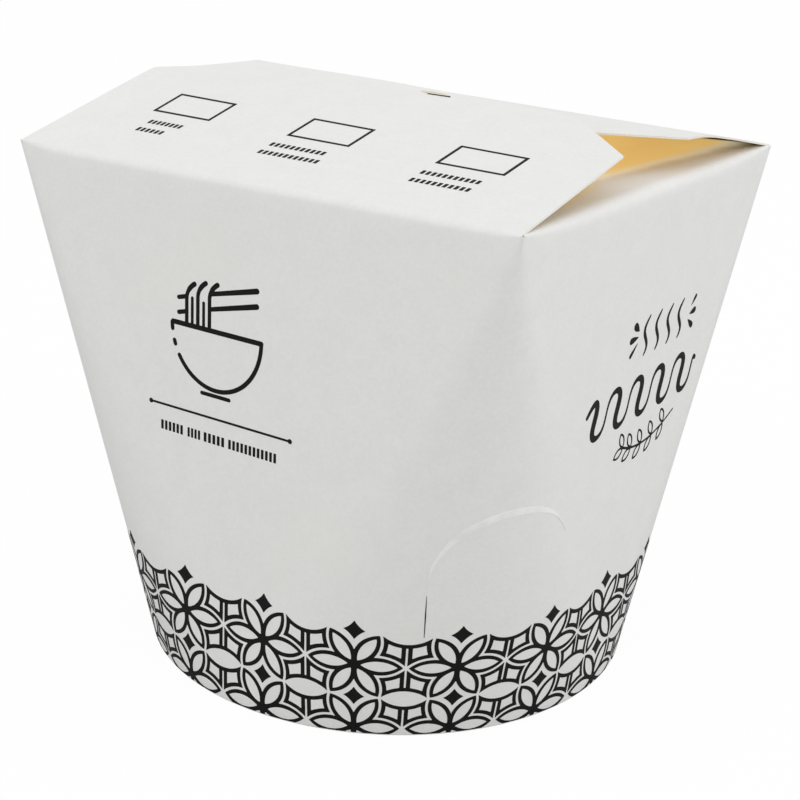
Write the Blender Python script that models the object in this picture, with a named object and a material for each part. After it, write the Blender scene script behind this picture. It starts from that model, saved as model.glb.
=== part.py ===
"""Noodle takeaway box: one folded paperboard carton, shut, on a round base disc.

The carton is square at the rim and round at the foot. Its front flap is the lid. The
lid and the back flap lean together as a low roof, and the two side flaps sink below
it, so a gap shows at each end. Metres, +Z up, front wall towards -Y.
"""
import math

import bmesh
import bpy

# Driving sizes
RIM_WIDTH = 0.105
RIM_DEPTH = 0.0925
RIM_HEIGHT = 0.098
BASE_RADIUS = 0.047
BOARD = 0.0005
GAP = 0.0003

# The front left corner of the rim stands a little low
CORNER_DROP = 0.0015

# Lid and back flap: slopes as rise over run, outlines as shares of the rim's width
LID_SLOPE = 0.236
LID_TWIST = -0.088 / RIM_WIDTH
LID_REACH = 0.439 * RIM_WIDTH
BACK_REACH = 0.460 * RIM_WIDTH
BACK_SLOPE = 0.222
BACK_CLEAR = 0.0004
BACK_SAG = 0.0020
SAG_HALF = 0.30 * RIM_WIDTH
BACK_BEND = 0.0015
SHOULDER_REACH = 0.324 * RIM_WIDTH
SHOULDER_HALF = 0.484 * RIM_WIDTH
TIP_HALF = 0.315 * RIM_WIDTH

# Side flaps: how deep they sink and how far in they run before the carton is solid
FLAP_DIP = 0.0052
FLAP_RUN = 0.0200
CORE_HALF = 0.0265
CORE_RISE = 0.0030
RIDGE_STEP = 0.0006

# Fineness of the mesh
CORNER_STEPS = 12
WALL_RINGS = 8

# Foot: hem ring, with the base disc set up inside it
HEM = 0.0016
BASE_RECESS = 0.0025
DISC = 0.0008

CARTON_COLOUR = (0.78, 0.78, 0.76, 1.0)
DISC_COLOUR = (0.74, 0.74, 0.72, 1.0)


def clear_scene():
    for old in list(bpy.data.objects):
        bpy.data.objects.remove(old, do_unlink=True)


def material(name, colour, roughness):
    made = bpy.data.materials.new(name)
    made.use_nodes = True
    shader = made.node_tree.nodes["Principled BSDF"]
    shader.inputs["Base Color"].default_value = colour
    shader.inputs["Roughness"].default_value = roughness
    shader.inputs["Metallic"].default_value = 0.0
    return made


def add_object(name, mesh, finish):
    bmesh.ops.recalc_face_normals(mesh, faces=mesh.faces)
    data = bpy.data.meshes.new(name)
    mesh.to_mesh(data)
    mesh.free()
    data.materials.append(finish)
    made = bpy.data.objects.new(name, data)
    bpy.context.collection.objects.link(made)
    return made


def ease(value):
    """Smooth step from 0 to 1."""
    value = min(max(value, 0.0), 1.0)
    return value * value * (3 - 2 * value)


def soft_min(a, b, bend):
    """The lower of two heights, rounded where they cross."""
    return 0.5 * (a + b - math.hypot(a - b, bend))


def rim_height(x, y):
    share = (0.5 - x / RIM_WIDTH) * (0.5 - y / RIM_DEPTH)
    return RIM_HEIGHT - CORNER_DROP * share


def lid_top(x, y):
    run = y + RIM_DEPTH / 2
    return rim_height(x, -RIM_DEPTH / 2) + run * (LID_SLOPE + LID_TWIST * x)


def back_top(x, y):
    """The back flap climbs from its fold, then bends level just under the lid."""
    fold = rim_height(x, RIM_DEPTH / 2)
    free_rise = (RIM_DEPTH / 2 - y) * BACK_SLOPE
    sag = BACK_CLEAR + BACK_SAG * ease(abs(x) / SAG_HALF)
    under_lid = lid_top(x, 0) - BOARD - sag - fold
    bend = soft_min(free_rise, under_lid, BACK_BEND) - soft_min(0, under_lid, BACK_BEND)
    return fold + bend


def side_flap_top(x, y):
    inward = (RIM_WIDTH / 2 - abs(x)) / FLAP_RUN
    ends = 1 - (2 * y / RIM_DEPTH) ** 8
    return rim_height(x, y) - FLAP_DIP * ease(inward) * ends


def core_top(x, y):
    """The solid middle, which ends half a board's thickness inside the roof."""
    roof = lid_top(x, y) if y < -2 * RIDGE_STEP else back_top(x, y)
    at_fold = 1 - (2 * y / RIM_DEPTH) ** 20
    return roof - BOARD / 2 * at_fold


def carton_top(x, y):
    core = ease((CORE_HALF + CORE_RISE - abs(x)) / CORE_RISE)
    return core * core_top(x, y) + (1 - core) * side_flap_top(x, y)


def flap_half_width(reach):
    """Half width of the lid or the back flap at a distance from its fold."""
    if reach <= SHOULDER_REACH:
        return RIM_WIDTH / 2 + (SHOULDER_HALF - RIM_WIDTH / 2) * reach / SHOULDER_REACH
    chamfer = (reach - SHOULDER_REACH) / (LID_REACH - SHOULDER_REACH)
    return SHOULDER_HALF + (TIP_HALF - SHOULDER_HALF) * chamfer


def rim_stations():
    """Places along the rim's sides, shared by the walls and the top."""
    inner = [CORE_HALF * k / 3 for k in range(-3, 4)]
    outer = [CORE_HALF + CORE_RISE * k / 3 for k in (1, 2, 3)]
    outer += [RIM_WIDTH / 2 - FLAP_RUN * k for k in (0.85, 0.65, 0.45, 0.25, 0.1, 0)]
    along_x = sorted(inner + outer + [-x for x in outer])
    ends = [RIM_DEPTH / 2 * k for k in (0.3, 0.5, 0.7, 0.82, 0.9, 0.96, 1)]
    ridge = [-4 * RIDGE_STEP, -2.1 * RIDGE_STEP, -1.1 * RIDGE_STEP, 0.1 * RIM_DEPTH / 2]
    along_y = sorted(ends + ridge + [-y for y in ends])
    return along_x, along_y


def wall_columns(along_x, along_y):
    """Rim point and foot angle of each line down the wall, anticlockwise from the front.

    A side's lines meet at one point of the foot, and a corner's lines fan out from one
    point of the rim, as a folded sheet's do.
    """
    half_x = RIM_WIDTH / 2
    half_y = RIM_DEPTH / 2
    sides = [
        [(x, -half_y) for x in along_x],
        [(half_x, y) for y in along_y],
        [(x, half_y) for x in reversed(along_x)],
        [(-half_x, y) for y in reversed(along_y)],
    ]
    columns = []
    for turn, side in enumerate(sides):
        middle = math.radians(90 * turn - 90)
        columns += [(x, y, middle) for x, y in side]
        for step in range(1, CORNER_STEPS):
            angle = middle + math.pi / 2 * step / CORNER_STEPS
            columns.append((*side[-1], angle))
    return columns


def add_ring(mesh, columns, radius_of, height_of):
    ring = []
    for x, y, angle in columns:
        radius = radius_of(x, y)
        place = (radius * math.cos(angle), radius * math.sin(angle), height_of(x, y))
        ring.append(mesh.verts.new(place))
    return ring


def join_rings(mesh, low, high):
    for k, corner in enumerate(low):
        after = (k + 1) % len(low)
        mesh.faces.new((corner, low[after], high[after], high[k]))


def carton_body():
    mesh = bmesh.new()
    along_x, along_y = rim_stations()
    columns = wall_columns(along_x, along_y)
    rings = []
    for level in range(WALL_RINGS + 1):
        share = level / WALL_RINGS
        ring = []
        for x, y, angle in columns:
            foot_x = BASE_RADIUS * math.cos(angle)
            foot_y = BASE_RADIUS * math.sin(angle)
            place = (
                foot_x + (x - foot_x) * share,
                foot_y + (y - foot_y) * share,
                rim_height(x, y) * share,
            )
            ring.append(mesh.verts.new(place))
        rings.append(ring)
    for low, high in zip(rings, rings[1:]):
        join_rings(mesh, low, high)
    grid = [[mesh.verts.new((x, y, carton_top(x, y))) for x in along_x] for y in along_y]
    for front, back in zip(grid, grid[1:]):
        for k in range(len(along_x) - 1):
            mesh.faces.new((front[k], front[k + 1], back[k + 1], back[k]))
    pocket = BASE_RADIUS - HEM
    ceiling = BASE_RECESS + DISC + GAP
    mouth = add_ring(mesh, columns, lambda x, y: pocket, lambda x, y: 0.0)
    roof = add_ring(mesh, columns, lambda x, y: pocket, lambda x, y: ceiling)
    join_rings(mesh, mouth, rings[0])
    join_rings(mesh, roof, mouth)
    mesh.faces.new(roof)
    bmesh.ops.remove_doubles(mesh, verts=mesh.verts, dist=1e-6)
    return mesh


def flap_slab(height_of, place_of, reaches, columns=24):
    """A bent sheet of board: height_of its upper face, place_of a reach as a y."""
    mesh = bmesh.new()
    layers = []
    for drop in (0.0, BOARD):
        rows = []
        for reach in reaches:
            half = flap_half_width(reach)
            y = place_of(reach)
            xs = [half * (2 * k / columns - 1) for k in range(columns + 1)]
            rows.append([mesh.verts.new((x, y, height_of(x, y) - drop)) for x in xs])
        layers.append(rows)
    for rows in layers:
        for near, far in zip(rows, rows[1:]):
            for k in range(columns):
                mesh.faces.new((near[k], near[k + 1], far[k + 1], far[k]))
    upper, lower = layers
    edges = [(upper[0], lower[0]), (upper[-1], lower[-1])]
    for end in (0, -1):
        edges.append(([row[end] for row in upper], [row[end] for row in lower]))
    for top, bottom in edges:
        for k in range(len(top) - 1):
            mesh.faces.new((top[k], top[k + 1], bottom[k + 1], bottom[k]))
    return mesh


def reaches_to(end, inset=0.0002):
    """Distances from the fold to a flap's free edge, with one at its shoulder."""
    near = [inset + (SHOULDER_REACH - inset) * k / 8 for k in range(9)]
    far = [SHOULDER_REACH + (end - SHOULDER_REACH) * k / 4 for k in range(1, 5)]
    return near + far


def unite(target, tool):
    cut = target.modifiers.new(tool.name, "BOOLEAN")
    cut.operation = "UNION"
    cut.solver = "EXACT"
    cut.object = tool
    tool.hide_render = True
    tool.display_type = "WIRE"


def build_carton(finish):
    carton = add_object("carton", carton_body(), finish)
    lid = flap_slab(lid_top, lambda reach: reach - RIM_DEPTH / 2, reaches_to(LID_REACH))
    back = flap_slab(back_top, lambda reach: RIM_DEPTH / 2 - reach, reaches_to(BACK_REACH))
    unite(carton, add_object("cutter_lid", lid, finish))
    unite(carton, add_object("cutter_back", back, finish))
    return carton


def build_base(finish):
    mesh = bmesh.new()
    bmesh.ops.create_cone(
        mesh,
        cap_ends=True,
        segments=64,
        radius1=BASE_RADIUS - HEM - GAP,
        radius2=BASE_RADIUS - HEM - GAP,
        depth=DISC,
    )
    base = add_object("base", mesh, finish)
    base.location.z = BASE_RECESS + DISC / 2
    return base


def main():
    clear_scene()
    build_carton(material("carton", CARTON_COLOUR, 0.55))
    build_base(material("base", DISC_COLOUR, 0.6))


main()
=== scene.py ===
"""Noodle takeaway box: one sheet of white board, folded shut, with a printed foot band.

Metres, +Z up, the front wall towards -Y. The board is square at the rim and round at the
foot. Its front flap is the lid. The lid and the back flap lean together as a low roof, and
a side flap sinks below it at each end. Prints are thin ink layers laid on the board, and
their own designs are drawn in millimetres.
"""
import math

import bpy
import numpy as np
from mathutils import Matrix, Vector, geometry


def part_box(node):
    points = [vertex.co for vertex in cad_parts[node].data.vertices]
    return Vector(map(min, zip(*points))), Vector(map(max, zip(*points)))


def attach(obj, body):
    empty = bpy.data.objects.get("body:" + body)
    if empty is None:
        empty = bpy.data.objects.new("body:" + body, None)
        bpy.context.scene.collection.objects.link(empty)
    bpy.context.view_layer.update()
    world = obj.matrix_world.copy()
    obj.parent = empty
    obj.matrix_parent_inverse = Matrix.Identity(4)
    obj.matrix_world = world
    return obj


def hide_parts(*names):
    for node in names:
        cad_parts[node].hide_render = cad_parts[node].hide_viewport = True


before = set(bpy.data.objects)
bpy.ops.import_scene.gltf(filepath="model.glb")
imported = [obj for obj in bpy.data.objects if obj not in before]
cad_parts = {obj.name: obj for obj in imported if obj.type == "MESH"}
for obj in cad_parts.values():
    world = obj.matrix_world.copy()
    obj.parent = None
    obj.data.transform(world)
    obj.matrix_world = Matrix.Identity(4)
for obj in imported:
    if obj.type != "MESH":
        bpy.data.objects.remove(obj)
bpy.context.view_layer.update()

# The carton's driving sizes
CARTON_LOW, CARTON_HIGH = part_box("carton")
RIM_WIDTH = CARTON_HIGH.x - CARTON_LOW.x
BASE_RADIUS = (CARTON_HIGH.y - CARTON_LOW.y) / 2
RIM_DEPTH = 0.0925
RIM_HEIGHT = 0.098
BOARD = 0.00035
CORNER_DROP = 0.0015
CORNER_LIFT = 0.0006
LIFT_REACH = 0.009

# Lid and back flap: slopes as rise over run, outlines as shares of the rim's width
LID_SLOPE = 0.236
LID_TWIST = -0.088 / RIM_WIDTH
LID_REACH = 0.439 * RIM_WIDTH
BACK_REACH = 0.460 * RIM_WIDTH
BACK_SLOPE = 0.222
BACK_CLEAR = 0.0007
BACK_SAG = 0.0020
LEFT_SAG = 0.0018
SAG_HALF = 0.30 * RIM_WIDTH
BACK_BEND = 0.0015
SHOULDER_REACH = 0.324 * RIM_WIDTH
SHOULDER_HALF = 0.488 * RIM_WIDTH
TIP_HALF = 0.337 * RIM_WIDTH
LID_DROOP = 0.0006
DROOP_START = 0.028
DROOP_RUN = 0.018

# Side flaps: how they sink, narrow and rise again to the roof's underside
FLAP_DIP = 0.0016
FLAP_RUN = 0.0200
FLAP_REACH = 0.0285
FLAP_TAPER = 0.14
RISE_START = 0.0215
ROOF_CLEAR = 0.0012

# Folds: how far before and after its crease the board bends
ROOF_BEND = 0.0012
SIDE_BEND = 0.0026
CORNER_BEND = 0.00015
NOTCH = 0.0004

# How far along its side a fold keeps its bend: the higher, the nearer to the corners
ROOF_SPREAD = 16
SIDE_SPREAD = 5

# Foot: the board turns in and up again as a hem
HEM = 0.0016
HEM_HEIGHT = 0.0030
HEM_BEND = 0.00045

# Fineness of the board's mesh
SIDE_COLUMNS = 96
WALL_ROWS = 44
FOLD_ROWS = 7
FLAP_ROWS = 26
SIDE_FLAP_ROWS = 34

# Edges sharper than these angles, in degrees, aren't shaded smooth
BOARD_SHARP = 35
INK_SHARP = 50

# Ink layers stand this far out of the board and reach this far into it
INK_PROUD = 0.00003
INK_SUNK = 0.00002
MM = 0.001


# ---- Shape of the carton ----


def ease(value):
    """Smooth step from 0 to 1."""
    value = np.clip(value, 0, 1)
    return value * value * (3 - 2 * value)


def soft_min(a, b, bend):
    """The lower of two heights, rounded where they cross."""
    return 0.5 * (a + b - np.hypot(a - b, bend))


def rim_height(x, y):
    """The rim stands a little low at its front left corner, whose tip curls up again."""
    share = (0.5 - x / RIM_WIDTH) * (0.5 - y / RIM_DEPTH)
    from_corner = np.hypot(x + RIM_WIDTH / 2, y + RIM_DEPTH / 2)
    return RIM_HEIGHT - CORNER_DROP * share + CORNER_LIFT * ease(1 - from_corner / LIFT_REACH)


def lid_top(x, y):
    """The lid climbs from its fold, and droops a little at its back left corner."""
    run = y + RIM_DEPTH / 2
    droop = LID_DROOP * ease(-x / TIP_HALF) * ease((run - DROOP_START) / DROOP_RUN)
    return rim_height(x, -RIM_DEPTH / 2) + run * (LID_SLOPE + LID_TWIST * x) - droop


def back_top(x, y):
    """The back flap climbs from its fold, then bends level just under the lid."""
    fold = rim_height(x, RIM_DEPTH / 2)
    free_rise = (RIM_DEPTH / 2 - y) * BACK_SLOPE
    sag = BACK_CLEAR + BACK_SAG * ease(np.abs(x) / SAG_HALF) + LEFT_SAG * ease(-x / TIP_HALF)
    under_lid = lid_top(x, 0) - sag - fold
    bend = soft_min(free_rise, under_lid, BACK_BEND) - soft_min(0, under_lid, BACK_BEND)
    return fold + bend


def flap_half_width(reach):
    """Half width of the lid or the back flap at a distance from its fold."""
    straight = reach / SHOULDER_REACH
    chamfer = (reach - SHOULDER_REACH) / (LID_REACH - SHOULDER_REACH)
    before = RIM_WIDTH / 2 + (SHOULDER_HALF - RIM_WIDTH / 2) * straight
    after = SHOULDER_HALF + (TIP_HALF - SHOULDER_HALF) * chamfer
    return np.where(reach <= SHOULDER_REACH, before, after)


def lid_point(share, reach):
    x = share * flap_half_width(reach)
    y = reach - RIM_DEPTH / 2
    return np.stack(np.broadcast_arrays(x, y, lid_top(x, y)), -1)


def back_point(share, reach):
    x = -share * flap_half_width(reach)
    y = RIM_DEPTH / 2 - reach
    return np.stack(np.broadcast_arrays(x, y, back_top(x, y)), -1)


def side_point(share, reach, hand):
    """A side flap sinks from its fold, and its inner end climbs to the roof's underside."""
    x = hand * (RIM_WIDTH / 2 - reach)
    y = hand * share * RIM_DEPTH / 2 * (1 - FLAP_TAPER * reach / FLAP_REACH)
    sunk = rim_height(x, y) - FLAP_DIP * ease(reach / FLAP_RUN) * (1 - share**8)
    roof = np.minimum(lid_top(x, y), back_top(x, y)) - ROOF_CLEAR
    rise = ease((reach - RISE_START) / (FLAP_REACH - RISE_START))
    return np.stack(np.broadcast_arrays(x, y, sunk + (roof - sunk) * rise), -1)


def ring_point(angle, share):
    """Where a ray from the axis meets the wall's level ring: a rounded rectangle.

    Share 0 is the round foot and share 1 the square rim.
    """
    half_x = share * RIM_WIDTH / 2
    half_y = share * RIM_DEPTH / 2
    corner = (1 - share) * BASE_RADIUS
    across = np.abs(np.cos(angle))
    ahead = np.abs(np.sin(angle))
    to_front = (half_y + corner) / np.maximum(ahead, 1e-9)
    to_side = (half_x + corner) / np.maximum(across, 1e-9)
    dot = across * half_x + ahead * half_y
    spread = dot**2 - (half_x**2 + half_y**2 - corner**2)
    to_corner = dot + np.sqrt(np.maximum(spread, 0))
    reach = np.where(to_side * ahead <= half_y, to_side, to_corner)
    reach = np.where(to_front * across <= half_x, to_front, reach)
    return reach * np.cos(angle), reach * np.sin(angle)


def wall_height(x, y, share):
    """Height of the wall's level ring under its nearest rim point."""
    share = np.maximum(share, 1e-6)
    rim_x = np.sign(x) * np.minimum(np.abs(x) / share, RIM_WIDTH / 2)
    rim_y = np.sign(y) * np.minimum(np.abs(y) / share, RIM_DEPTH / 2)
    return rim_height(rim_x, rim_y) * share


def level_share(x_of, z):
    """Share of the ring that passes height z, where x_of gives the ring's point at a share."""
    share = z / RIM_HEIGHT
    for _ in range(4):
        x, y = x_of(share)
        share = z / wall_height(x, y, share) * share
    return share


def wall_round(angle, z):
    """Wall point at an angle round the axis."""
    share = level_share(lambda s: ring_point(angle, s), z)
    x, y = ring_point(angle, share)
    return np.stack(np.broadcast_arrays(x, y, z), -1)


def bowed(along, half_along, half_out, corner):
    """Distance out of a rounded rectangle's side at a place along it."""
    past = np.clip(np.abs(along) - half_along, 0, corner)
    return half_out + np.sqrt(corner**2 - past**2)


def front_point(x, z):
    def ring(share):
        corner = (1 - share) * BASE_RADIUS
        return x, -bowed(x, share * RIM_WIDTH / 2, share * RIM_DEPTH / 2, corner)

    x, y = ring(level_share(ring, z))
    return np.stack(np.broadcast_arrays(x, y, z), -1)


def right_point(y, z):
    def ring(share):
        corner = (1 - share) * BASE_RADIUS
        return bowed(y, share * RIM_DEPTH / 2, share * RIM_WIDTH / 2, corner), y

    x, y = ring(level_share(ring, z))
    return np.stack(np.broadcast_arrays(x, y, z), -1)


# ---- Materials ----


class Wire:
    """A shader output that adds Math nodes when it takes part in arithmetic."""

    def __init__(self, finish, socket):
        self.finish = finish
        self.socket = socket

    def math(self, operation, *values):
        settings = {"operation": operation}
        return self.finish.node("ShaderNodeMath", settings, dict(enumerate(values)))

    def __add__(self, other):
        return self.math("ADD", self, other)

    def __sub__(self, other):
        return self.math("SUBTRACT", self, other)

    def __rsub__(self, other):
        return self.math("SUBTRACT", other, self)

    def __mul__(self, other):
        return self.math("MULTIPLY", self, other)

    __radd__ = __add__
    __rmul__ = __mul__

    def size(self):
        return self.math("ABSOLUTE", self)

    def or_more(self, other):
        return self.math("MAXIMUM", self, other)

    def ramp(self, low, high):
        """0 at low, 1 at high, smooth between."""
        settings = {"interpolation_type": "SMOOTHSTEP"}
        values = {"Value": self, "From Min": low, "From Max": high}
        return self.finish.node("ShaderNodeMapRange", settings, values)


class Finish:
    """A material and the nodes that make it."""

    def __init__(self, name):
        self.material = bpy.data.materials.new(name)
        self.material.use_nodes = True
        self.tree = self.material.node_tree
        self.tree.nodes.clear()
        self.place = self.node("ShaderNodeTexCoord", output="Object")

    def node(self, kind, settings=None, values=None, output=0):
        made = self.tree.nodes.new(kind)
        for name, value in (settings or {}).items():
            setattr(made, name, value)
        for name, value in (values or {}).items():
            if isinstance(value, Wire):
                self.tree.links.new(value.socket, made.inputs[name])
            else:
                made.inputs[name].default_value = value
        return Wire(self, made.outputs[output] if made.outputs else None)

    def noise(self, size, detail=3.0, stretch=(1, 1, 1)):
        """Noise from 0 to 1 with spots about this many metres across."""
        scale = tuple(part / size for part in stretch)
        values = {0: self.place, 1: scale}
        spot = self.node("ShaderNodeVectorMath", {"operation": "MULTIPLY"}, values)
        values = {"Vector": spot, "Scale": 1.0, "Detail": detail, "Roughness": 0.55}
        return self.node("ShaderNodeTexNoise", {}, values)

    def blend(self, share, first, second):
        settings = {"data_type": "RGBA"}
        values = {0: share, 6: first, 7: second}
        return self.node("ShaderNodeMix", settings, values, output=2)

    def axis(self, name):
        return self.node("ShaderNodeSeparateXYZ", {}, {0: self.place}, output=name)

    def bump(self, height, distance, strength=1.0):
        values = {"Height": height, "Distance": distance, "Strength": strength}
        return self.node("ShaderNodeBump", {}, values, output="Normal")

    def surface(self, shader):
        self.node("ShaderNodeOutputMaterial", {}, {"Surface": shader})
        return self.material

    def coat(self, colour, roughness, normal=None, **constants):
        values = {"Base Color": colour, "Roughness": roughness}
        if normal is not None:
            values["Normal"] = normal
        values.update({name.replace("_", " "): value for name, value in constants.items()})
        return self.surface(self.node("ShaderNodeBsdfPrincipled", {}, values))


def srgb(red, green, blue):
    """A colour written in display values from 0 to 255, as linear light."""

    def linear(value):
        value /= 255
        return value / 12.92 if value <= 0.04045 else ((value + 0.055) / 1.055) ** 2.4

    return (*(linear(value) for value in (red, green, blue)), 1.0)


WHITE_BOARD = srgb(234, 234, 233)
SHADED_BOARD = srgb(228, 228, 226)
WARM_BOARD = srgb(231, 231, 222)
# The cream and gold colours paint warm bounce light into the side flaps' shade under the roof;
# the two glow colours below make those parts give off a little painted light.
CREAM_PAINTED_BOUNCE = srgb(238, 226, 192)
GOLD_PAINTED_BOUNCE = srgb(238, 202, 132)
NO_LIGHT = (0.0, 0.0, 0.0, 1.0)
CREAM_PAINTED_GLOW = (0.20, 0.22, 0.21, 1.0)
GOLD_PAINTED_GLOW = (0.28, 0.25, 0.105, 1.0)
KRAFT = srgb(244, 224, 182)
DARK_KRAFT = srgb(234, 208, 158)
CUT_EDGE = srgb(232, 226, 212)
INK = srgb(14, 14, 15)
WORN_INK = srgb(26, 26, 27)
FINE_GRAIN = 0.0007
SOFT_MOTTLE = 0.0045
WIDE_MOTTLE = 0.0400


def board_white(finish):
    """White coated board: fine paper grain, a soft mottle and faint warm areas."""
    grain = finish.noise(FINE_GRAIN, detail=2.0)
    mottle = finish.noise(SOFT_MOTTLE)
    white = finish.blend((grain * 0.6 + mottle * 0.4).ramp(0.25, 0.75), SHADED_BOARD, WHITE_BOARD)
    warmth = finish.noise(WIDE_MOTTLE).ramp(0.5, 0.85) * 0.5
    return finish.blend(warmth, white, WARM_BOARD), grain, mottle


def board_finish():
    finish = Finish("white coated board")
    white, grain, mottle = board_white(finish)
    normal = finish.bump(grain * 0.7 + mottle * 0.3, 0.00002, 0.5)
    return finish.coat(white, grain * 0.12 + 0.46, normal)


def side_flap_painted_light_finish():
    """A side flap: white at its fold, then cream and gold where it runs in under the roof, and
    cream in a strip along the lid's side edge towards the front. The cream and gold are painted
    warm bounce light in the shade there, not the board's own colour.

    The cream and gold parts also give off a little light: a painted glow.
    """
    finish = Finish("side flap with painted bounce light")
    white, grain, mottle = board_white(finish)
    inward = RIM_WIDTH / 2 - finish.axis("X").size()
    behind = finish.axis("Y")
    wander = (mottle - 0.5) * 0.002
    depth = inward + behind * 0.17 + wander
    by_lid = inward - (behind + RIM_DEPTH / 2) * 0.2 + wander
    # Painted warm bounce light: a cream strip along the lid's side edge, and cream then gold
    # deeper in under the roof.
    lid_edge_painted_bounce = by_lid.ramp(0.0004, 0.0024) * (1 - behind.ramp(-0.0100, 0.0020)) * 0.9
    cream = depth.ramp(0.0100, 0.0150)
    gold = depth.ramp(0.0130, 0.0180)
    painted_bounce_tint = finish.blend(cream.or_more(lid_edge_painted_bounce), white, CREAM_PAINTED_BOUNCE)
    painted_bounce_tint = finish.blend(gold, painted_bounce_tint, GOLD_PAINTED_BOUNCE)
    # Painted glow: the cream and gold parts give off a little light, though the board is no lamp.
    shine = finish.blend(cream, NO_LIGHT, CREAM_PAINTED_GLOW)
    shine = finish.blend(gold, shine, GOLD_PAINTED_GLOW)
    normal = finish.bump(grain * 0.7 + mottle * 0.3, 0.00002, 0.5)
    roughness = grain * 0.12 + 0.46
    return finish.coat(painted_bounce_tint, roughness, normal, Emission_Color=shine, Emission_Strength=1.0)


def kraft_finish():
    finish = Finish("cream inner face")
    fibre = finish.noise(0.0008, detail=4.0, stretch=(1, 0.35, 1))
    cloud = finish.noise(0.012)
    colour = finish.blend((fibre * 0.6 + cloud * 0.4).ramp(0.2, 0.8), DARK_KRAFT, KRAFT)
    return finish.coat(colour, fibre * 0.1 + 0.62, finish.bump(fibre, 0.00004, 0.6))


def edge_finish():
    finish = Finish("cut board edge")
    ply = finish.noise(0.0003, detail=2.0)
    colour = finish.blend(ply.ramp(0.3, 0.7), CUT_EDGE, WHITE_BOARD)
    return finish.coat(colour, ply * 0.1 + 0.7, finish.bump(ply, 0.00003, 0.5))


def ink_finish():
    finish = Finish("black ink")
    grain = finish.noise(FINE_GRAIN, detail=2.0)
    wear = finish.noise(0.006)
    colour = finish.blend((grain * 0.5 + wear * 0.5).ramp(0.45, 0.8) * 0.6, INK, WORN_INK)
    bump = finish.bump(grain, 0.00001, 0.4)
    return finish.coat(colour, grain * 0.15 + 0.5, bump, Specular_IOR_Level=0.15)


def emboss_painted_highlight_finish():
    finish = Finish("pressed board painted highlight")
    white, grain, mottle = board_white(finish)
    # The lighter white of the pressed ring is a painted highlight on its raised arc.
    lifted = finish.blend(mottle.ramp(0.2, 0.8) * 0.8, white, srgb(250, 250, 247))
    return finish.coat(lifted, grain * 0.1 + 0.4, finish.bump(grain, 0.00001, 0.4))


def tongue_finish():
    finish = Finish("cream tongue")
    fibre = finish.noise(0.0005, detail=3.0)
    colour = finish.blend(fibre.ramp(0.3, 0.7), srgb(226, 219, 200), srgb(206, 196, 172))
    return finish.coat(colour, fibre * 0.1 + 0.6, finish.bump(fibre, 0.00002, 0.5))


# ---- The folded board ----


def close_to_ends(count):
    """Shares from -1 to 1, closer together near both ends."""
    return np.sin(np.linspace(-math.pi / 2, math.pi / 2, count + 1))


def rim_columns():
    """Rim points round the carton from the front left corner, anticlockwise."""
    share = close_to_ends(SIDE_COLUMNS)[:-1]
    x, y, one = share * RIM_WIDTH / 2, share * RIM_DEPTH / 2, np.ones(SIDE_COLUMNS)
    rim_x = np.concatenate((x, one * RIM_WIDTH / 2, -x, -one * RIM_WIDTH / 2))
    rim_y = np.concatenate((-one * RIM_DEPTH / 2, y, one * RIM_DEPTH / 2, -y))
    return rim_x, rim_y


def fold_bend(share, widest, power):
    """How far from its crease a fold bends: widest at mid side, tight at the corners."""
    return CORNER_BEND + (widest - CORNER_BEND) * (1 - np.abs(share) ** power)


def hem_rows(angle, foot_reach):
    """The hem from its inner top edge, down and out round the foot."""
    inner = [(HEM, HEM_HEIGHT), (HEM, HEM_HEIGHT / 2), (HEM, HEM_BEND)]
    turn = [math.pi / 2 * k / 4 for k in range(1, 5)]
    bend_in = [(HEM - HEM_BEND * (1 - math.cos(a)), HEM_BEND * (1 - math.sin(a))) for a in turn]
    bend_out = [(HEM_BEND * (1 - math.sin(a)), HEM_BEND * (1 - math.cos(a))) for a in turn]
    flat = [(HEM / 2, 0.0), (HEM_BEND, 0.0)]
    rows = []
    for inset, height in inner + bend_in + flat + bend_out[:-1]:
        reach = foot_reach - inset
        high = np.full_like(angle, height)
        rows.append(np.stack((reach * np.cos(angle), reach * np.sin(angle), high), -1))
    return rows


def bezier(first, middle, last, count):
    """Points along a quadratic curve, without its first."""
    step = (np.arange(1, count + 1) / count)[:, None, None]
    return (1 - step) ** 2 * first + 2 * step * (1 - step) * middle + step**2 * last


def grid_faces(rows, material):
    """Quads between rows of vertex numbers, and their material number."""
    faces = []
    for low, high in zip(rows, rows[1:]):
        faces += list(zip(low[:-1], low[1:], high[1:], high[:-1]))
    return faces, [material] * len(faces)


def flap_reaches(end):
    """Distances from the fold, with one row exactly at the shoulder."""
    before = np.linspace(0, SHOULDER_REACH, FLAP_ROWS)
    after = np.linspace(SHOULDER_REACH, end, FLAP_ROWS // 3)[1:]
    return np.concatenate((before, after))


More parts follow.
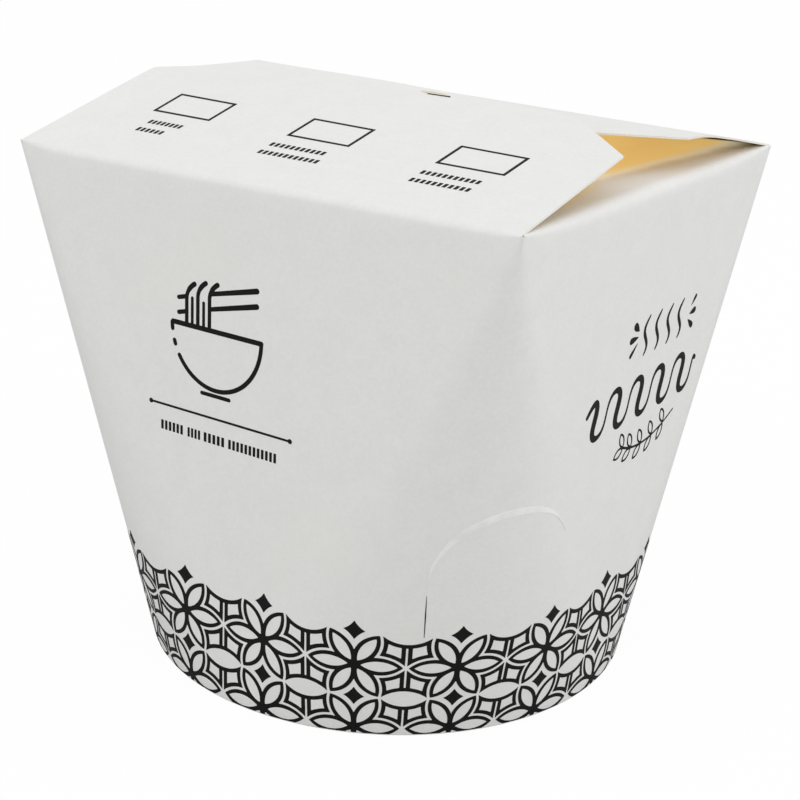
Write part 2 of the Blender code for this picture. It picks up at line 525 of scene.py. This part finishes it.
def folded_board():
    """The whole sheet: hem, walls, lid, back flap and side flaps, as one surface."""
    rim_x, rim_y = rim_columns()
    angle = np.arctan2(rim_y, rim_x)
    share = close_to_ends(SIDE_COLUMNS)
    roof_bend = fold_bend(share[:-1], ROOF_BEND, ROOF_SPREAD)
    side_bend = fold_bend(share[:-1], SIDE_BEND, SIDE_SPREAD)
    bend = np.concatenate((roof_bend, side_bend, roof_bend, side_bend))
    foot_share = HEM_BEND / RIM_HEIGHT
    foot_x, foot_y = ring_point(angle, np.full_like(angle, foot_share))
    rows = hem_rows(angle, np.hypot(foot_x, foot_y))
    for step in np.linspace(0, 1, WALL_ROWS + 1):
        level = foot_share + (1 - bend / RIM_HEIGHT - foot_share) * step
        x, y = ring_point(angle, level)
        rows.append(np.stack((x, y, wall_height(x, y, level)), -1))
    points = [np.concatenate(rows)]
    total = len(angle)
    numbers = [np.append(np.arange(total), 0) + total * k for k in range(len(rows))]
    faces, materials = grid_faces(numbers, 0)
    top = numbers[-1]
    wall_top = rows[-1]
    count = len(points[0])

    side_reaches = np.linspace(0, FLAP_REACH, SIDE_FLAP_ROWS)
    flaps = [
        (lid_point, flap_reaches(LID_REACH), ROOF_BEND, ROOF_SPREAD, 0),
        (lambda s, r: side_point(s, r, 1), side_reaches, SIDE_BEND, SIDE_SPREAD, 1),
        (back_point, flap_reaches(BACK_REACH), ROOF_BEND, ROOF_SPREAD, 0),
        (lambda s, r: side_point(s, r, -1), side_reaches, SIDE_BEND, SIDE_SPREAD, 1),
    ]
    for side, (surface, reaches, widest, power, material) in enumerate(flaps):
        half = (RIM_WIDTH if side % 2 == 0 else RIM_DEPTH) / 2
        keep = np.flatnonzero((1 - np.abs(share)) * half >= NOTCH)
        part = share[keep]
        column = keep + side * SIDE_COLUMNS
        spread = fold_bend(part, widest, power)
        first = wall_top[column]
        crease = surface(part, np.zeros_like(part))
        fold = bezier(first, crease, surface(part, spread), FOLD_ROWS)
        if material == 0:
            flat = [surface(part, np.maximum(spread, r)) for r in reaches if r > widest]
        else:
            steps = reaches[1:] / FLAP_REACH
            flat = [surface(part, spread + (FLAP_REACH - spread) * k) for k in steps]
        sheet = np.concatenate((fold, np.stack(flat)))
        new = np.arange(sheet.shape[0] * sheet.shape[1]).reshape(sheet.shape[:2]) + count
        more, kinds = grid_faces([top[column], *new], material)
        faces += more
        materials += kinds
        points.append(sheet.reshape(-1, 3))
        count += new.size
    return np.concatenate(points), faces, materials


def add_mesh(name, points, faces, finishes, face_finish=None, sharp=BOARD_SHARP):
    data = bpy.data.meshes.new(name)
    places = [tuple(map(float, point)) for point in points]
    data.from_pydata(places, [], [tuple(map(int, face)) for face in faces])
    for finish in finishes:
        data.materials.append(finish)
    if face_finish is not None:
        data.polygons.foreach_set("material_index", face_finish)
    data.shade_smooth()
    data.set_sharp_from_angle(angle=math.radians(sharp))
    made = bpy.data.objects.new(name, data)
    bpy.context.collection.objects.link(made)
    return made


def thicken(piece, thickness, inner, edge):
    """Gives a sheet its thickness, growing away from its shown face."""
    solid = piece.modifiers.new("thickness", "SOLIDIFY")
    solid.thickness = thickness
    solid.offset = -1
    solid.material_offset = inner
    solid.material_offset_rim = edge
    depsgraph = bpy.context.evaluated_depsgraph_get()
    whole = bpy.data.meshes.new_from_object(piece.evaluated_get(depsgraph))
    piece.modifiers.clear()
    piece.data = whole
    whole.set_sharp_from_angle(angle=math.radians(BOARD_SHARP))


def carton_board():
    points, faces, materials = folded_board()
    board, flap, kraft, edge = board_finish(), side_flap_painted_light_finish(), kraft_finish(), edge_finish()
    finishes = [board, flap, kraft, kraft, edge, edge]
    made = add_mesh("carton_board", points, faces, finishes, materials)
    thicken(made, BOARD, 2, 4)
    return made


# ---- Ink layers: a design's outline, filled with triangles and laid on the board ----


def contour(field, box, step):
    """Closed outlines round the places where a field is negative."""
    (left, right), (bottom, top) = box
    u = np.arange(left - step, right + 2 * step, step)
    v = np.arange(bottom - step, top + 2 * step, step)
    value = field(*np.meshgrid(u, v))
    value[np.abs(value) < 1e-7] = 1e-7
    value[[0, -1], :] = step
    value[:, [0, -1]] = step
    inside = value < 0
    level = inside[:, :-1] != inside[:, 1:]
    upright = inside[:-1] != inside[1:]
    row, column = np.nonzero(level)
    share = value[row, column] / (value[row, column] - value[row, column + 1])
    points = [np.stack((u[column] + share * step, v[row]), -1)]
    level_id = np.full(level.shape, -1)
    level_id[row, column] = np.arange(len(row))
    known = len(row)
    row, column = np.nonzero(upright)
    share = value[row, column] / (value[row, column] - value[row + 1, column])
    points.append(np.stack((u[column], v[row] + share * step), -1))
    upright_id = np.full(upright.shape, -1)
    upright_id[row, column] = np.arange(len(row)) + known
    sides = np.stack((level_id[:-1], upright_id[:, 1:], level_id[1:], upright_id[:, :-1]), -1)
    cells = sides[(sides >= 0).any(-1)]
    lower_left = inside[:-1, :-1][(sides >= 0).any(-1)]
    after = {}
    for cell, filled in zip(cells.tolist(), lower_left.tolist()):
        crossed = [side for side in cell if side >= 0]
        if len(crossed) == 4:
            low, right_side, high, left_side = crossed
            joins = [(low, left_side), (high, right_side)]
            if filled:
                joins = [(low, right_side), (high, left_side)]
        else:
            joins = [tuple(crossed)]
        for a, b in joins:
            after.setdefault(a, []).append(b)
            after.setdefault(b, []).append(a)
    return np.concatenate(points), after


def loops_of(after):
    """Orders the joined points into closed loops."""
    loops = []
    while after:
        start = next(iter(after))
        loop = [start]
        here = after.pop(start)[0]
        while here != start:
            near = after.pop(here)
            onward = near[0] if near[0] != loop[-1] else near[1]
            loop.append(here)
            here = onward
        loops.append(loop)
    return loops


def thinned(loop, points, slack, longest):
    """Drops points that lie close to the line between those that are kept."""
    place = points[loop]
    kept = [0]
    start = 0
    total = len(loop)
    while start < total - 1:
        end = start + 1
        while end + 1 < total:
            chord = place[end + 1] - place[start]
            length = math.hypot(*chord)
            between = place[start + 1 : end + 1] - place[start]
            off = np.abs(between[:, 0] * chord[1] - between[:, 1] * chord[0])
            if length > longest or off.max() > slack * max(length, 1e-9):
                break
            end += 1
        kept.append(end)
        start = end
    return place[kept[:-1] if kept[-1] == total - 1 and total > 3 else kept]


def filled(field, box, step, spacing=1.5):
    """Triangles that fill a design."""
    points, after = contour(field, box, step)
    corners, edges = [], []
    for loop in loops_of(after):
        if len(loop) < 6:
            continue
        kept = thinned(loop, points, step * 0.07, 2.0)
        first = len(corners)
        corners += kept.tolist()
        count = len(kept)
        edges += [(first + k, first + (k + 1) % count) for k in range(count)]
    (left, right), (bottom, top) = box
    u, v = np.meshgrid(np.arange(left, right, spacing), np.arange(bottom, top, spacing))
    deep = field(u, v) < -0.3
    corners += np.stack((u[deep], v[deep]), -1).tolist()
    made = geometry.delaunay_2d_cdt([Vector(c) for c in corners], edges, [], 0, 1e-6)
    places = np.array([tuple(p) for p in made[0]])
    triangles = np.array(made[2])
    corner = places[triangles]
    middle = corner.mean(1)
    inside = field(middle[:, 0], middle[:, 1]) < 0
    for k in range(3):
        near = middle * 0.4 + corner[:, k] * 0.6
        inside &= field(near[:, 0], near[:, 1]) < 0.03
    return places, triangles[inside]


def laid(surface, places, lift):
    """Design places on a surface, in metres, lifted off it."""
    u, v = places[:, 0] * MM, places[:, 1] * MM
    nudge = 0.1 * MM
    along = surface(u + nudge, v) - surface(u - nudge, v)
    up = surface(u, v + nudge) - surface(u, v - nudge)
    normal = np.cross(along, up)
    normal /= np.linalg.norm(normal, axis=1)[:, None]
    return surface(u, v) + normal * lift


def layer(name, field, box, step, surface, finish, proud=INK_PROUD):
    """A thin closed layer in the shape of a design."""
    places, triangles = filled(field, box, step)
    used, triangles = np.unique(triangles, return_inverse=True)
    triangles = triangles.reshape(-1, 3)
    places = places[used]
    area = places[triangles]
    first, second = area[:, 1] - area[:, 0], area[:, 2] - area[:, 0]
    turned = first[:, 0] * second[:, 1] - first[:, 1] * second[:, 0] < 0
    triangles[turned] = triangles[turned][:, ::-1]
    count = len(places)
    points = np.concatenate((laid(surface, places, proud), laid(surface, places, -INK_SUNK)))
    edges = np.concatenate((triangles[:, [0, 1]], triangles[:, [1, 2]], triangles[:, [2, 0]]))
    known = {tuple(edge) for edge in edges.tolist()}
    rim = [(a, b) for a, b in known if (b, a) not in known]
    faces = triangles.tolist()
    faces += (triangles[:, ::-1] + count).tolist()
    faces += [(b, a, a + count, b + count) for a, b in sorted(rim)]
    return add_mesh(name, points, faces, [finish], sharp=INK_SHARP)


# ---- Designs, in millimetres ----


def lens(u, v, half_length, half_width):
    """Signed distance to a lens along u: two arcs that meet in points."""
    radius = (half_length**2 + half_width**2) / (2 * half_width)
    return np.hypot(u, np.abs(v) + radius - half_width) - radius


def turned(u, v, degrees):
    """Coordinates in axes turned by an angle."""
    c, s = math.cos(math.radians(degrees)), math.sin(math.radians(degrees))
    return u * c + v * s, v * c - u * s


def stroke(u, v, path, widths):
    """Signed distance to a round-ended line, whose width may change from point to point."""
    widths = np.broadcast_to(widths, len(path))
    nearest = np.full(np.shape(u), 1e3)
    for start, end, wide, next_wide in zip(path, path[1:], widths, widths[1:]):
        du, dv = end[0] - start[0], end[1] - start[1]
        share = ((u - start[0]) * du + (v - start[1]) * dv) / (du**2 + dv**2)
        share = np.clip(share, 0, 1)
        gap = np.hypot(u - start[0] - share * du, v - start[1] - share * dv)
        nearest = np.minimum(nearest, gap - (wide + (next_wide - wide) * share) / 2)
    return nearest


def arc(centre, radius, start, end, count=24):
    """Points along an arc, its angles in degrees."""
    turn = np.radians(np.linspace(start, end, count))
    return [(centre[0] + radius * math.cos(a), centre[1] + radius * math.sin(a)) for a in turn]


def ticks(u, v, length, count, tall):
    """A run of short upright strokes, as wide together as length."""
    pitch = length / count
    near = np.clip(np.round(u / pitch - 0.5), 0, count - 1)
    off_u = np.abs(u - (near + 0.5) * pitch) - pitch * 0.31
    off_v = np.abs(v) - tall / 2
    return np.maximum(off_u, off_v)


def curve(first, middle, last, count=14):
    """Points along a quadratic curve."""
    step = np.linspace(0, 1, count)[:, None]
    first, middle, last = np.array(first), np.array(middle), np.array(last)
    return ((1 - step) ** 2 * first + 2 * step * (1 - step) * middle + step**2 * last).tolist()


# Foot band: flowers of six petals, in columns round the foot
BAND_COLUMNS = 17
BAND_TURN = math.radians(-62.4)
BAND_SHARE = 0.16
BAND_PITCH = 18.6
BAND_ROWS = 13.8
ROW_HEIGHTS = (15.5, 1.7)
FOOT_MARGIN = 0.35
LINE = 0.78
PAPER_GAP = 0.52
SLIVER_HALF = 0.19
DIAMOND_HALF = 2.05
NETWORK_HALF = 5.2


def petals(u, v, start, end, half_width):
    """Six lenses that meet at a flower's heart: two level, four slanting."""
    u = np.abs(u)
    v = np.abs(v)
    slant = math.degrees(math.atan2(BAND_ROWS, BAND_PITCH / 2))
    along, across = turned(u, v, slant)
    shift = (start + end) / 2
    half = (end - start) / 2
    level = lens(u - shift, v, half, half_width)
    slanting = lens(along - shift + 0.45, across, half - 0.3, half_width)
    return np.minimum(level, slanting)


def spark(u, v, size):
    """A diamond with slightly hollow sides."""
    return ((np.abs(u) / size) ** 0.78 + (np.abs(v) / size) ** 0.78 - 1) * size


def band_field(u, v):
    u = (u + BAND_PITCH / 2) % BAND_PITCH - BAND_PITCH / 2
    from_join = BAND_PITCH / 2 - np.abs(u)
    outer = np.full(np.shape(u), 1e3)
    hollow = np.full(np.shape(u), 1e3)
    for height in ROW_HEIGHTS:
        outer = np.minimum(outer, petals(u, v - height, 0.0, 8.8, 1.90))
        hollow = np.minimum(hollow, petals(u, v - height, 1.15, 7.85, 1.10))
    ink = np.maximum(outer, -hollow)
    top_row, low_row = ROW_HEIGHTS
    for middle in (top_row + BAND_ROWS / 2 + 0.3, (top_row + low_row) / 2):
        ink = np.minimum(ink, spark(u, v - middle, DIAMOND_HALF))
    for middle, whole in (((top_row + low_row) / 2, True), (top_row + BAND_ROWS / 2, False)):
        above = v - middle
        eye = lens(from_join, above, 4.5, 1.75)
        field = np.maximum(PAPER_GAP - outer, np.abs(above) - BAND_ROWS / 2)
        inside = np.maximum(PAPER_GAP + LINE - outer, LINE - eye)
        stalk = np.maximum(from_join - SLIVER_HALF, LINE - eye)
        panes = np.maximum(inside, SLIVER_HALF + LINE - from_join)
        frame_ink = np.maximum(field, -np.minimum(np.minimum(eye, panes), stalk))
        frame_ink = np.maximum(frame_ink, from_join - NETWORK_HALF)
        if not whole:
            frame_ink = np.maximum(frame_ink, above)
        ink = np.minimum(ink, frame_ink)
    ink = np.maximum(ink, FOOT_MARGIN - v)
    return ink


def band_surface(u, v):
    """The band keeps its spacing along the wall, so its columns stand closer at corners."""
    angle = np.linspace(-math.pi, math.pi, 1441)
    x, y = ring_point(angle, np.full_like(angle, BAND_SHARE))
    length = np.append(0, np.cumsum(np.hypot(np.diff(x), np.diff(y))))
    start = np.interp(BAND_TURN, angle, length)
    along = start + u / MM / (BAND_COLUMNS * BAND_PITCH) * length[-1]
    return wall_round(np.interp(along % length[-1], length, angle), v)


def foot_band(finish):
    half = BAND_COLUMNS * BAND_PITCH / 2

    def field(u, v):
        return np.maximum(band_field(u, v), np.abs(u) - half)

    box = ((-half, half), (0.0, 26.0))
    return layer("foot_band_print", field, box, 0.12, band_surface, finish)


# Bowl picture on the front wall: a bowl of noodles held up by two sticks
BOWL_MIDDLE = (-6.4, 70.5)
BOWL_RADIUS = 9.9
BOWL_DEPTH = 1.08
BOWL_LINE = 0.82
ROW_HEIGHT = 50.7
ROW_TALL = 1.75
# Rows of short strokes under the bowl: start, length and number of strokes
STROKE_ROWS = ((-19.1, 5.4, 6), (-12.9, 3.2, 4), (-9.2, 5.0, 5), (-3.6, 10.9, 12))


def bowl_field(u, v):
    middle_u, rim = BOWL_MIDDLE
    lines = [([(middle_u - BOWL_RADIUS + 0.2, rim), (middle_u + BOWL_RADIUS, rim)], 0.92)]
    for start, end in ((181, 187), (198.5, 202), (213.5, 360)):
        bowl = arc((0, 0), BOWL_RADIUS, start, end, 40)
        bowl = [(middle_u + across, rim + down * BOWL_DEPTH) for across, down in bowl]
        lines.append((bowl, BOWL_LINE))
    lines.append(([(-9.5, 58.8), (-3.4, 58.8)], 0.72))
    for lift in (0.0, -2.7):
        lines.append(([(-14.8, 75.1 + lift), (-13.0, 75.6 + lift)], 0.8))
        lines.append(([(-7.7, 77.0 + lift), (2.4, 79.5 + lift)], (0.8, 1.0)))
    for place, top in ((-13.0, 78.1), (-10.5, 78.7), (-7.9, 78.9)):
        bend = curve((place, top - 2.7), (place + 0.1, top - 1.1), (place + 1.75, top))
        lines.append(([(place, rim), *bend], (0.78,) * 8 + (0.9,) * 7))
    for place, top in ((-11.75, 75.5), (-9.2, 75.1)):
        lines.append(([(place, rim), (place, top)], 0.62))
    lines.append(([(-21.3, 54.6), (10.0, 54.6)], 0.42))
    for end in (-21.3, 10.0):
        lines.append(([(end, 54.6), (end + 0.01, 54.6)], 0.9))
    field = np.full(np.shape(u), 1e3)
    for path, widths in lines:
        field = np.minimum(field, stroke(u, v, path, widths))
    for start, length, count in STROKE_ROWS:
        field = np.minimum(field, ticks(u - start, v - ROW_HEIGHT, length, count, ROW_TALL))
    return field


# Ornament on the right wall: steam over a long wavy noodle, shine marks and a sprig
def drop(u, v, tip, degrees, length, wide):
    """A drop that widens from its tip."""
    heading = np.array((math.cos(math.radians(degrees)), math.sin(math.radians(degrees))))
    path = [tuple(tip + heading * reach) for reach in np.linspace(0, length - wide / 2, 6)]
    return stroke(u, v, path, np.array((0.2, 0.4, 0.65, 0.85, 1.0, 1.0)) * wide)


def side_field(u, v):
    field = np.full(np.shape(u), 1e3)
    marks = (
        ((-0.9, 72.0), 143, 2.6, 1.45),
        ((-1.0, 70.8), 184, 3.1, 1.25),
        ((-0.9, 69.6), 221, 3.3, 0.85),
        ((20.1, 71.9), 45, 2.5, 0.80),
        ((19.9, 70.3), 11, 2.5, 1.20),
        ((19.5, 69.2), -38, 2.9, 1.15),
    )
    for tip, degrees, length, wide in marks:
        field = np.minimum(field, drop(u, v, tip, degrees, length, wide))
    turn = np.linspace(0, 1, 22)
    for start in (2.2, 6.7, 11.2, 15.7):
        sway = start + 0.95 * np.sin(2 * math.pi * turn + 0.4) + 0.8 * (turn - 0.5)
        widths = 0.35 + 0.55 * np.sin(math.pi * turn) ** 0.7
        field = np.minimum(field, stroke(u, v, list(zip(sway, 66.7 + 7.3 * turn)), widths))
    field = np.minimum(field, long_noodle(u, v))
    return np.minimum(field, sprig(u, v))


def long_noodle(u, v):
    """A wavy noodle, thick where it runs down."""
    waves = 5.0
    turn = np.linspace(0, 1, 180)
    phase = 2 * math.pi * waves * turn + 0.35 * math.pi
    swing = 3.7 * ease(turn / 0.06 + 0.45) * ease((1 - turn) / 0.05 + 0.5)
    rise = 58.7 + swing * np.sin(phase)
    along = -16.4 + 42.0 * turn + 0.22 * (rise - 58.7) - 0.75 * np.sin(2 * phase)
    widths = 1.15 - 0.55 * np.cos(phase)
    return stroke(u, v, list(zip(along, rise)), widths)


def sprig(u, v):
    """A stem with five pairs of open leaves."""
    stem = curve((-1.3, 49.9), (8.0, 46.2), (18.8, 51.7), 30)
    field = stroke(u, v, stem, np.linspace(0.5, 0.35, 30))
    for pair, place in enumerate((1, 6, 12, 18, 24)):
        foot = stem[place]
        for degrees in (118, 202 + 9 * pair):
            leaf_u, leaf_v = turned(u - foot[0], v - foot[1], degrees)
            leaf = lens(leaf_u - 1.85, leaf_v, 1.85, 0.98)
            field = np.minimum(field, np.maximum(leaf, -leaf - 0.4))
    return field


# Lid: three tick boxes, each with two rows of short strokes in front of it
TICK_PLACES = (-30.9, 0.0, 30.9)
TICK_WIDTH = 12.8
TICK_DEPTH = 7.6
TICK_FRONT = 19.6
TICK_LINE = 0.60
TICK_ROWS = ((2.2, 8.0, 6.4), (-0.8, 12.0, 13.0), (-0.5, 11.7, 11.8))
ROW_PLACES = (15.3, 12.0)
STROKE_PITCH = 1.05
STROKE_TALL = 1.4


def lid_field(u, v):
    field = np.full(np.shape(u), 1e3)
    for middle, (inset, *lengths) in zip(TICK_PLACES, TICK_ROWS):
        off_u = np.abs(u - middle) - TICK_WIDTH / 2
        off_v = np.abs(v - TICK_FRONT - TICK_DEPTH / 2) - TICK_DEPTH / 2
        square = np.maximum(off_u, off_v)
        field = np.minimum(field, np.abs(square) - TICK_LINE / 2)
        start = middle - TICK_WIDTH / 2 + inset
        for length, place in zip(lengths, ROW_PLACES):
            count = round(length / STROKE_PITCH)
            field = np.minimum(field, ticks(u - start, v - place, length, count, STROKE_TALL))
    return field


def lid_surface(u, v):
    """Lid point at a distance v up its slope from the front fold."""
    y = v / math.hypot(1, LID_SLOPE) - RIM_DEPTH / 2
    return np.stack(np.broadcast_arrays(u, y, lid_top(u, y)), -1)


TONGUE_SPAN = (3.9, 10.4)
TONGUE_BACK = 45.7
TONGUE_PROUD = 0.0001
SLIT_PROUD = 0.00013
TONGUE_BOX = ((4, 13), (44, 47))
SLIT_BOX = ((4, 13), (43, 47))


def tongue_field(u, v):
    """The lock's tongue, which shows as a thin strip at the lid's back edge."""
    middle = sum(TONGUE_SPAN) / 2
    half = (TONGUE_SPAN[1] - TONGUE_SPAN[0]) / 2
    return lens(u - middle, v - TONGUE_BACK, half, 0.55)


# The slit is drawn as a thin black stroke: painted shade in the cut where the tongue goes
# through.
def slit_shade_field(u, v):
    path = [(TONGUE_SPAN[0] + 2.0, TONGUE_BACK - 0.6), (TONGUE_SPAN[1], TONGUE_BACK - 0.25)]
    return stroke(u, v, path, 0.16)


# A pressed ring low on the front right corner: a slightly raised band, drawn only along its top
# left arc in a lighter white, which is a painted highlight. A dark ink stroke at its left edge is
# painted shadow.
RING_TURN = math.radians(-34.4)
RING_HEIGHT = 33.0
RING_RADIUS = 14.4
RING_REACH = 0.0555
RING_PROUD = 0.00008
RING_BOX = ((-16, 16), (32, 49))
RING_SHADOW_BOX = ((-15, -13), (22, 32))


def ring_surface(u, v):
    return wall_round(u / RING_REACH + RING_TURN, v)


def ring_field(u, v):
    from_middle = np.hypot(u, v - RING_HEIGHT)
    heading = np.degrees(np.arctan2(v - RING_HEIGHT, u))
    # Only the top left arc is drawn, where light catches the raised ring: its lighter colour is a
    # painted highlight.
    fade = np.clip((180 - heading) / 50, 0, 1) * np.clip((heading - 25) / 60, 0, 1)
    return np.abs(from_middle - RING_RADIUS) - 0.60 * fade


# A thin dark stroke in ink at the ring's left edge, standing for the shadow there: painted
# shadow.
def ring_shadow_field(u, v):
    path = [(-14.1, 22.4), (-14.2, 26.8), (-14.3, 31.2)]
    return stroke(u, v, path, (0.12, 0.24, 0.08))


# ---- Room, lamps and camera ----


SKY = 0.875


def room():
    """A white floor and surroundings. The floor keeps a little of the shadow."""
    finish = Finish("pale floor")
    grain = finish.noise(0.02)
    shade = finish.blend(grain, (0.53, 0.53, 0.53, 1.0), (0.57, 0.57, 0.57, 1.0))
    matt = finish.node("ShaderNodeBsdfDiffuse", {}, {"Color": shade})
    glow = finish.node("ShaderNodeEmission", {}, {"Strength": 1.03})
    seen = finish.node("ShaderNodeLightPath", output="Is Camera Ray")
    finish.surface(finish.node("ShaderNodeMixShader", {}, {0: seen * 0.93, 1: matt, 2: glow}))
    half = 3.0
    corners = [(-half, -half, 0), (half, -half, 0), (half, half, 0), (-half, half, 0)]
    floor = add_mesh("floor", corners, [(0, 1, 2, 3)], [finish.material])
    world = bpy.data.worlds.new("studio")
    world.use_nodes = True
    bpy.context.scene.world = world
    nodes, links = world.node_tree.nodes, world.node_tree.links
    nodes.clear()
    path = nodes.new("ShaderNodeLightPath")
    sky = nodes.new("ShaderNodeBackground")
    sky.inputs["Strength"].default_value = SKY
    shown = nodes.new("ShaderNodeBackground")
    shown.inputs["Color"].default_value = (1, 1, 1, 1)
    mix = nodes.new("ShaderNodeMixShader")
    out = nodes.new("ShaderNodeOutputWorld")
    sky.inputs["Color"].default_value = (1, 1, 1, 1)
    links.new(path.outputs["Is Camera Ray"], mix.inputs[0])
    links.new(sky.outputs[0], mix.inputs[1])
    links.new(shown.outputs[0], mix.inputs[2])
    links.new(mix.outputs[0], out.inputs["Surface"])


# Lamps: name, azimuth and elevation in degrees, distance in metres and power in watts
LAMPS = (
    ("front lamp", -15, 30, 1.0, 1.35),
    ("right lamp", 100, 25, 0.9, 1.70),
)
LAMP_SIZE = 0.7
LAMP_AIM = Vector((0, 0, 0.06))


def away(azimuth, elevation):
    """Direction from the carton. Azimuth 0 is its front and 90 its right."""
    level = math.cos(elevation)
    heading = (math.sin(azimuth) * level, -math.cos(azimuth) * level, math.sin(elevation))
    return Vector(heading)


def lamp(name, azimuth, elevation, reach, power):
    data = bpy.data.lights.new(name, "AREA")
    data.shape = "DISK"
    data.size = LAMP_SIZE
    data.energy = power
    back = away(math.radians(azimuth), math.radians(elevation))
    made = bpy.data.objects.new(name, data)
    made.location = LAMP_AIM + back * reach
    made.rotation_mode = "QUATERNION"
    made.rotation_quaternion = (-back).to_track_quat("-Z", "Y")
    bpy.context.collection.objects.link(made)


CAMERA_AZIMUTH = math.radians(33.62)
CAMERA_ELEVATION = math.radians(20.085)
CAMERA_ROLL = math.radians(2.41)
CAMERA_DISTANCE = 3.195 * RIM_WIDTH
CAMERA_AIM = Vector((0.010, 0.0, 0.447)) * RIM_WIDTH
CAMERA_LENS = 77.57


def camera():
    back = away(CAMERA_AZIMUTH, CAMERA_ELEVATION)
    right = (-back).cross(Vector((0, 0, 1))).normalized()
    up = right.cross(-back)
    rolled_right = right * math.cos(CAMERA_ROLL) + up * math.sin(CAMERA_ROLL)
    rolled_up = up * math.cos(CAMERA_ROLL) - right * math.sin(CAMERA_ROLL)
    data = bpy.data.cameras.new("camera")
    data.lens = CAMERA_LENS
    data.clip_start = 0.01
    made = bpy.data.objects.new("camera", data)
    turn = Matrix((rolled_right, rolled_up, back)).transposed()
    made.matrix_world = Matrix.Translation(CAMERA_AIM + back * CAMERA_DISTANCE) @ turn.to_4x4()
    bpy.context.collection.objects.link(made)
    bpy.context.scene.camera = made


# ---- Putting it together ----

bpy.context.scene.view_settings.view_transform = "Standard"
camera()
room()
for name, azimuth, elevation, reach, power in LAMPS:
    lamp(name, azimuth, elevation, reach, power)

board = carton_board()
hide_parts("carton")

ink = ink_finish()
tongue = tongue_finish()
pressed = emboss_painted_highlight_finish()
prints = [
    foot_band(ink),
    layer("bowl_print", bowl_field, ((-23, 12), (49, 81)), 0.08, front_point, ink),
    layer("side_print", side_field, ((-20, 33), (45, 76)), 0.08, right_point, ink),
    layer("lid_print", lid_field, ((-38, 38), (9.5, 28)), 0.08, lid_surface, ink),
    layer("lock_tongue", tongue_field, TONGUE_BOX, 0.08, lid_surface, tongue, TONGUE_PROUD),
    layer("lock_slit_painted_shade", slit_shade_field, SLIT_BOX, 0.05, lid_surface, ink, SLIT_PROUD),
    layer("pressed_ring_painted_highlight", ring_field, RING_BOX, 0.08, ring_surface, pressed, RING_PROUD),
    layer("ring_painted_shadow", ring_shadow_field, RING_SHADOW_BOX, 0.04, ring_surface, ink),
]

for piece in [board, *prints]:
    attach(piece, "root")

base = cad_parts["base"]
for slot in base.material_slots:
    slot.material = board.data.materials[0]
